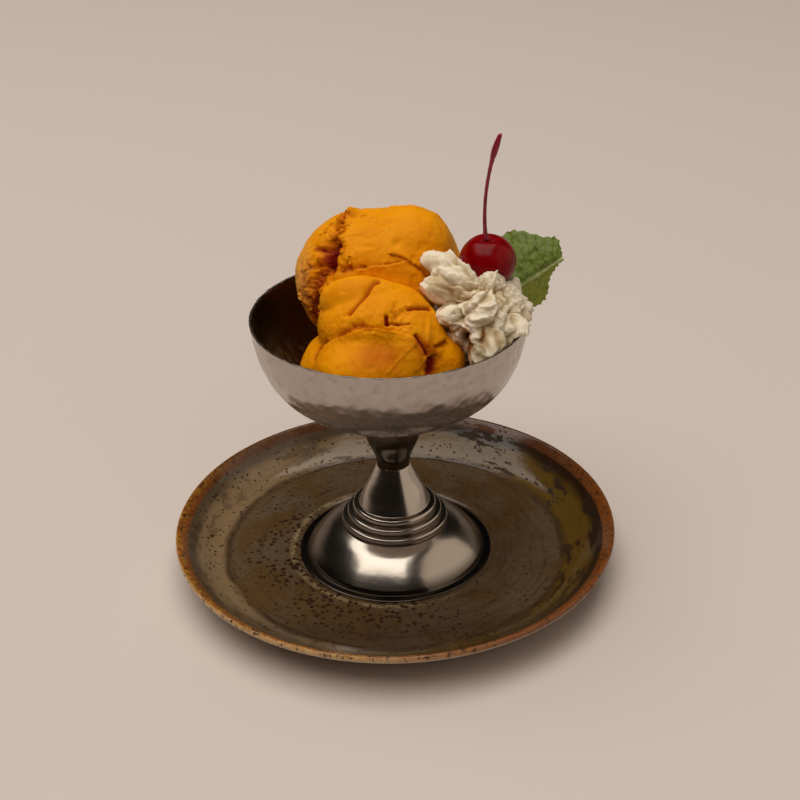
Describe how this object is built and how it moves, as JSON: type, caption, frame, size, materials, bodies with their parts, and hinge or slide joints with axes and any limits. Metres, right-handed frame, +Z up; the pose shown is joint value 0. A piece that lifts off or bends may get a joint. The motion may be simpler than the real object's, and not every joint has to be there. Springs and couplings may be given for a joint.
{
  "type": "mango ice cream coupe",
  "caption": "Scoops of mango ice cream with whipped cream, a cherry and a mint leaf in a footed steel coupe on a glazed saucer.",
  "frame": {"origin": "centre of the saucer's flat underside", "axes": "+Z up, -Y towards the front from which the front scoop is seen, +X towards the cherry and the mint leaf"},
  "size_m": [0.159, 0.159, 0.1609],
  "materials": {
    "mango": "soft frozen surface, slightly moist",
    "cream": "soft piped cream",
    "cherry": "wet glossy skin",
    "stem": "smooth woody stalk",
    "mint": "quilted leaf",
    "bowl_steel": "fine hammered, satin",
    "foot_steel": "spun and polished",
    "glaze": "speckled brown reactive glaze"
  },
  "bodies": {
    "root": {"saucer": "glaze", "coupe_foot": "foot_steel", "coupe_neck": "bowl_steel", "coupe_bowl": "bowl_steel", "scoop_back": "mango", "scoop_front": "mango", "whipped_cream": "cream", "cherry": "cherry", "cherry_stem": "stem", "mint_leaf": "mint"}
  },
  "joints": []
}
